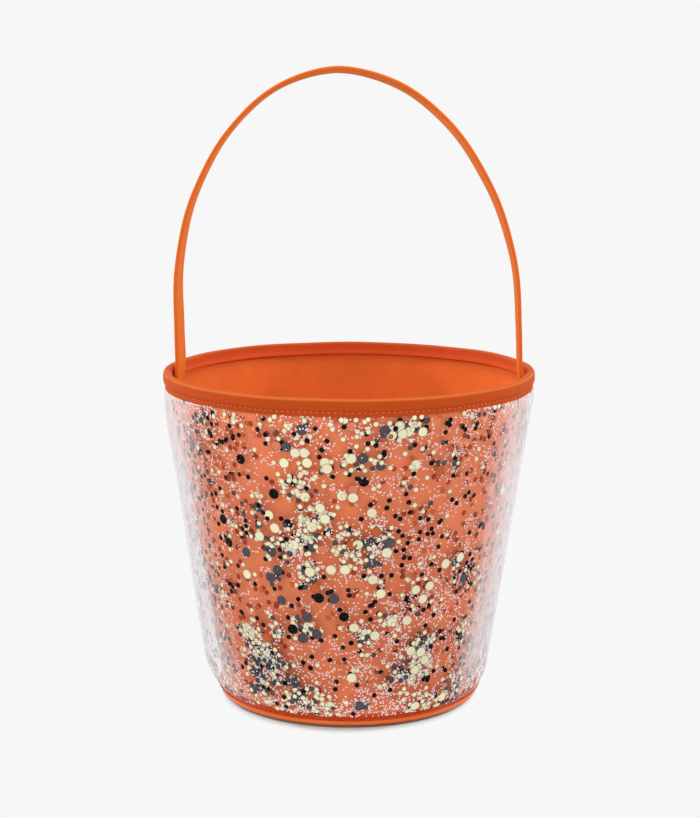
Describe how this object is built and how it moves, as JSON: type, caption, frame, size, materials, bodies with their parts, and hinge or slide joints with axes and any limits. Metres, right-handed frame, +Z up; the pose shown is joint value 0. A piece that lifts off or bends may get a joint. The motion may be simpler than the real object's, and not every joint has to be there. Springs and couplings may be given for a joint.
{
  "type": "treat bucket",
  "caption": "Soft tapered treat bucket: orange fabric liner in a clear sleeve over loose confetti discs, bound rim, piped base and a swinging strap handle.",
  "frame": {"origin": "on the ground under the middle of the base", "axes": "+Z up; the handle's arch lies in the XZ plane, so the handle swings about X; the side seams are on -X"},
  "size_m": [0.24, 0.24, 0.4068],
  "materials": {
    "liner_fabric": "matte plain-weave orange fabric",
    "binding_fabric": "matte orange fabric binding, slightly darker",
    "strap_fabric": "matte orange fabric folded over webbing",
    "seam_fabric": "dark orange fabric",
    "piping_vinyl": "glossy orange vinyl welt",
    "thread": "light orange sewing thread",
    "webbing": "stiff woven webbing",
    "board": "pressed board stiffener",
    "white_plastic": "white flexible plastic",
    "clear_film": "clear flexible plastic film",
    "confetti_black": "glossy black film disc",
    "confetti_charcoal": "metallic charcoal film disc",
    "confetti_gold": "pale gold metallic film disc",
    "confetti_orange": "orange metallic film disc"
  },
  "bodies": {
    "bucket": {"base_panel": "seam_fabric", "base_board": "board", "base_piping_cover": "piping_vinyl", "base_piping_cord": "white_plastic", "base_seam_tape": "seam_fabric", "base_seam_thread": "thread", "liner_wall": "liner_fabric", "liner_floor": "liner_fabric", "liner_seam_tape": "binding_fabric", "clear_sleeve": "clear_film", "sleeve_seam_strip": "clear_film", "rim_binding": "binding_fabric", "rim_hoop": "white_plastic", "rim_topstitch": "thread", "handle_end_left": "strap_fabric", "handle_end_right": "strap_fabric", "handle_end_stitch_left": "thread", "handle_end_stitch_right": "thread", "confetti_black_01": "confetti_black", "confetti_black_02": "confetti_black", "confetti_black_03": "confetti_black", "confetti_black_04": "confetti_black", "confetti_black_05": "confetti_black", "confetti_black_06": "confetti_black", "confetti_black_07": "confetti_black", "confetti_black_08": "confetti_black", "confetti_black_09": "confetti_black", "confetti_charcoal_01": "confetti_charcoal", "confetti_charcoal_02": "confetti_charcoal", "confetti_charcoal_03": "confetti_charcoal", "confetti_charcoal_04": "confetti_charcoal", "confetti_charcoal_05": "confetti_charcoal", "confetti_charcoal_06": "confetti_charcoal", "confetti_charcoal_07": "confetti_charcoal", "confetti_charcoal_08": "confetti_charcoal", "confetti_charcoal_09": "confetti_charcoal", "confetti_gold_01": "confetti_gold", "confetti_gold_02": "confetti_gold", "confetti_gold_03": "confetti_gold", "confetti_gold_04": "confetti_gold", "confetti_gold_05": "confetti_gold", "confetti_gold_06": "confetti_gold", "confetti_gold_07": "confetti_gold", "confetti_gold_08": "confetti_gold", "confetti_gold_09": "confetti_gold", "confetti_orange_01": "confetti_orange", "confetti_orange_02": "confetti_orange", "confetti_orange_03": "confetti_orange", "confetti_orange_04": "confetti_orange", "confetti_orange_05": "confetti_orange", "confetti_orange_06": "confetti_orange", "confetti_orange_07": "confetti_orange", "confetti_orange_08": "confetti_orange", "confetti_orange_09": "confetti_orange"},
    "handle": {"handle_cover": "strap_fabric", "handle_core": "webbing"}
  },
  "joints": [
    {"name": "handle_swing", "type": "hinge", "parent": "bucket", "child": "handle", "pos_m": [0, 0, 0.22093], "axis": [1, 0, 0], "range_deg": [-70, 70]}
  ]
}
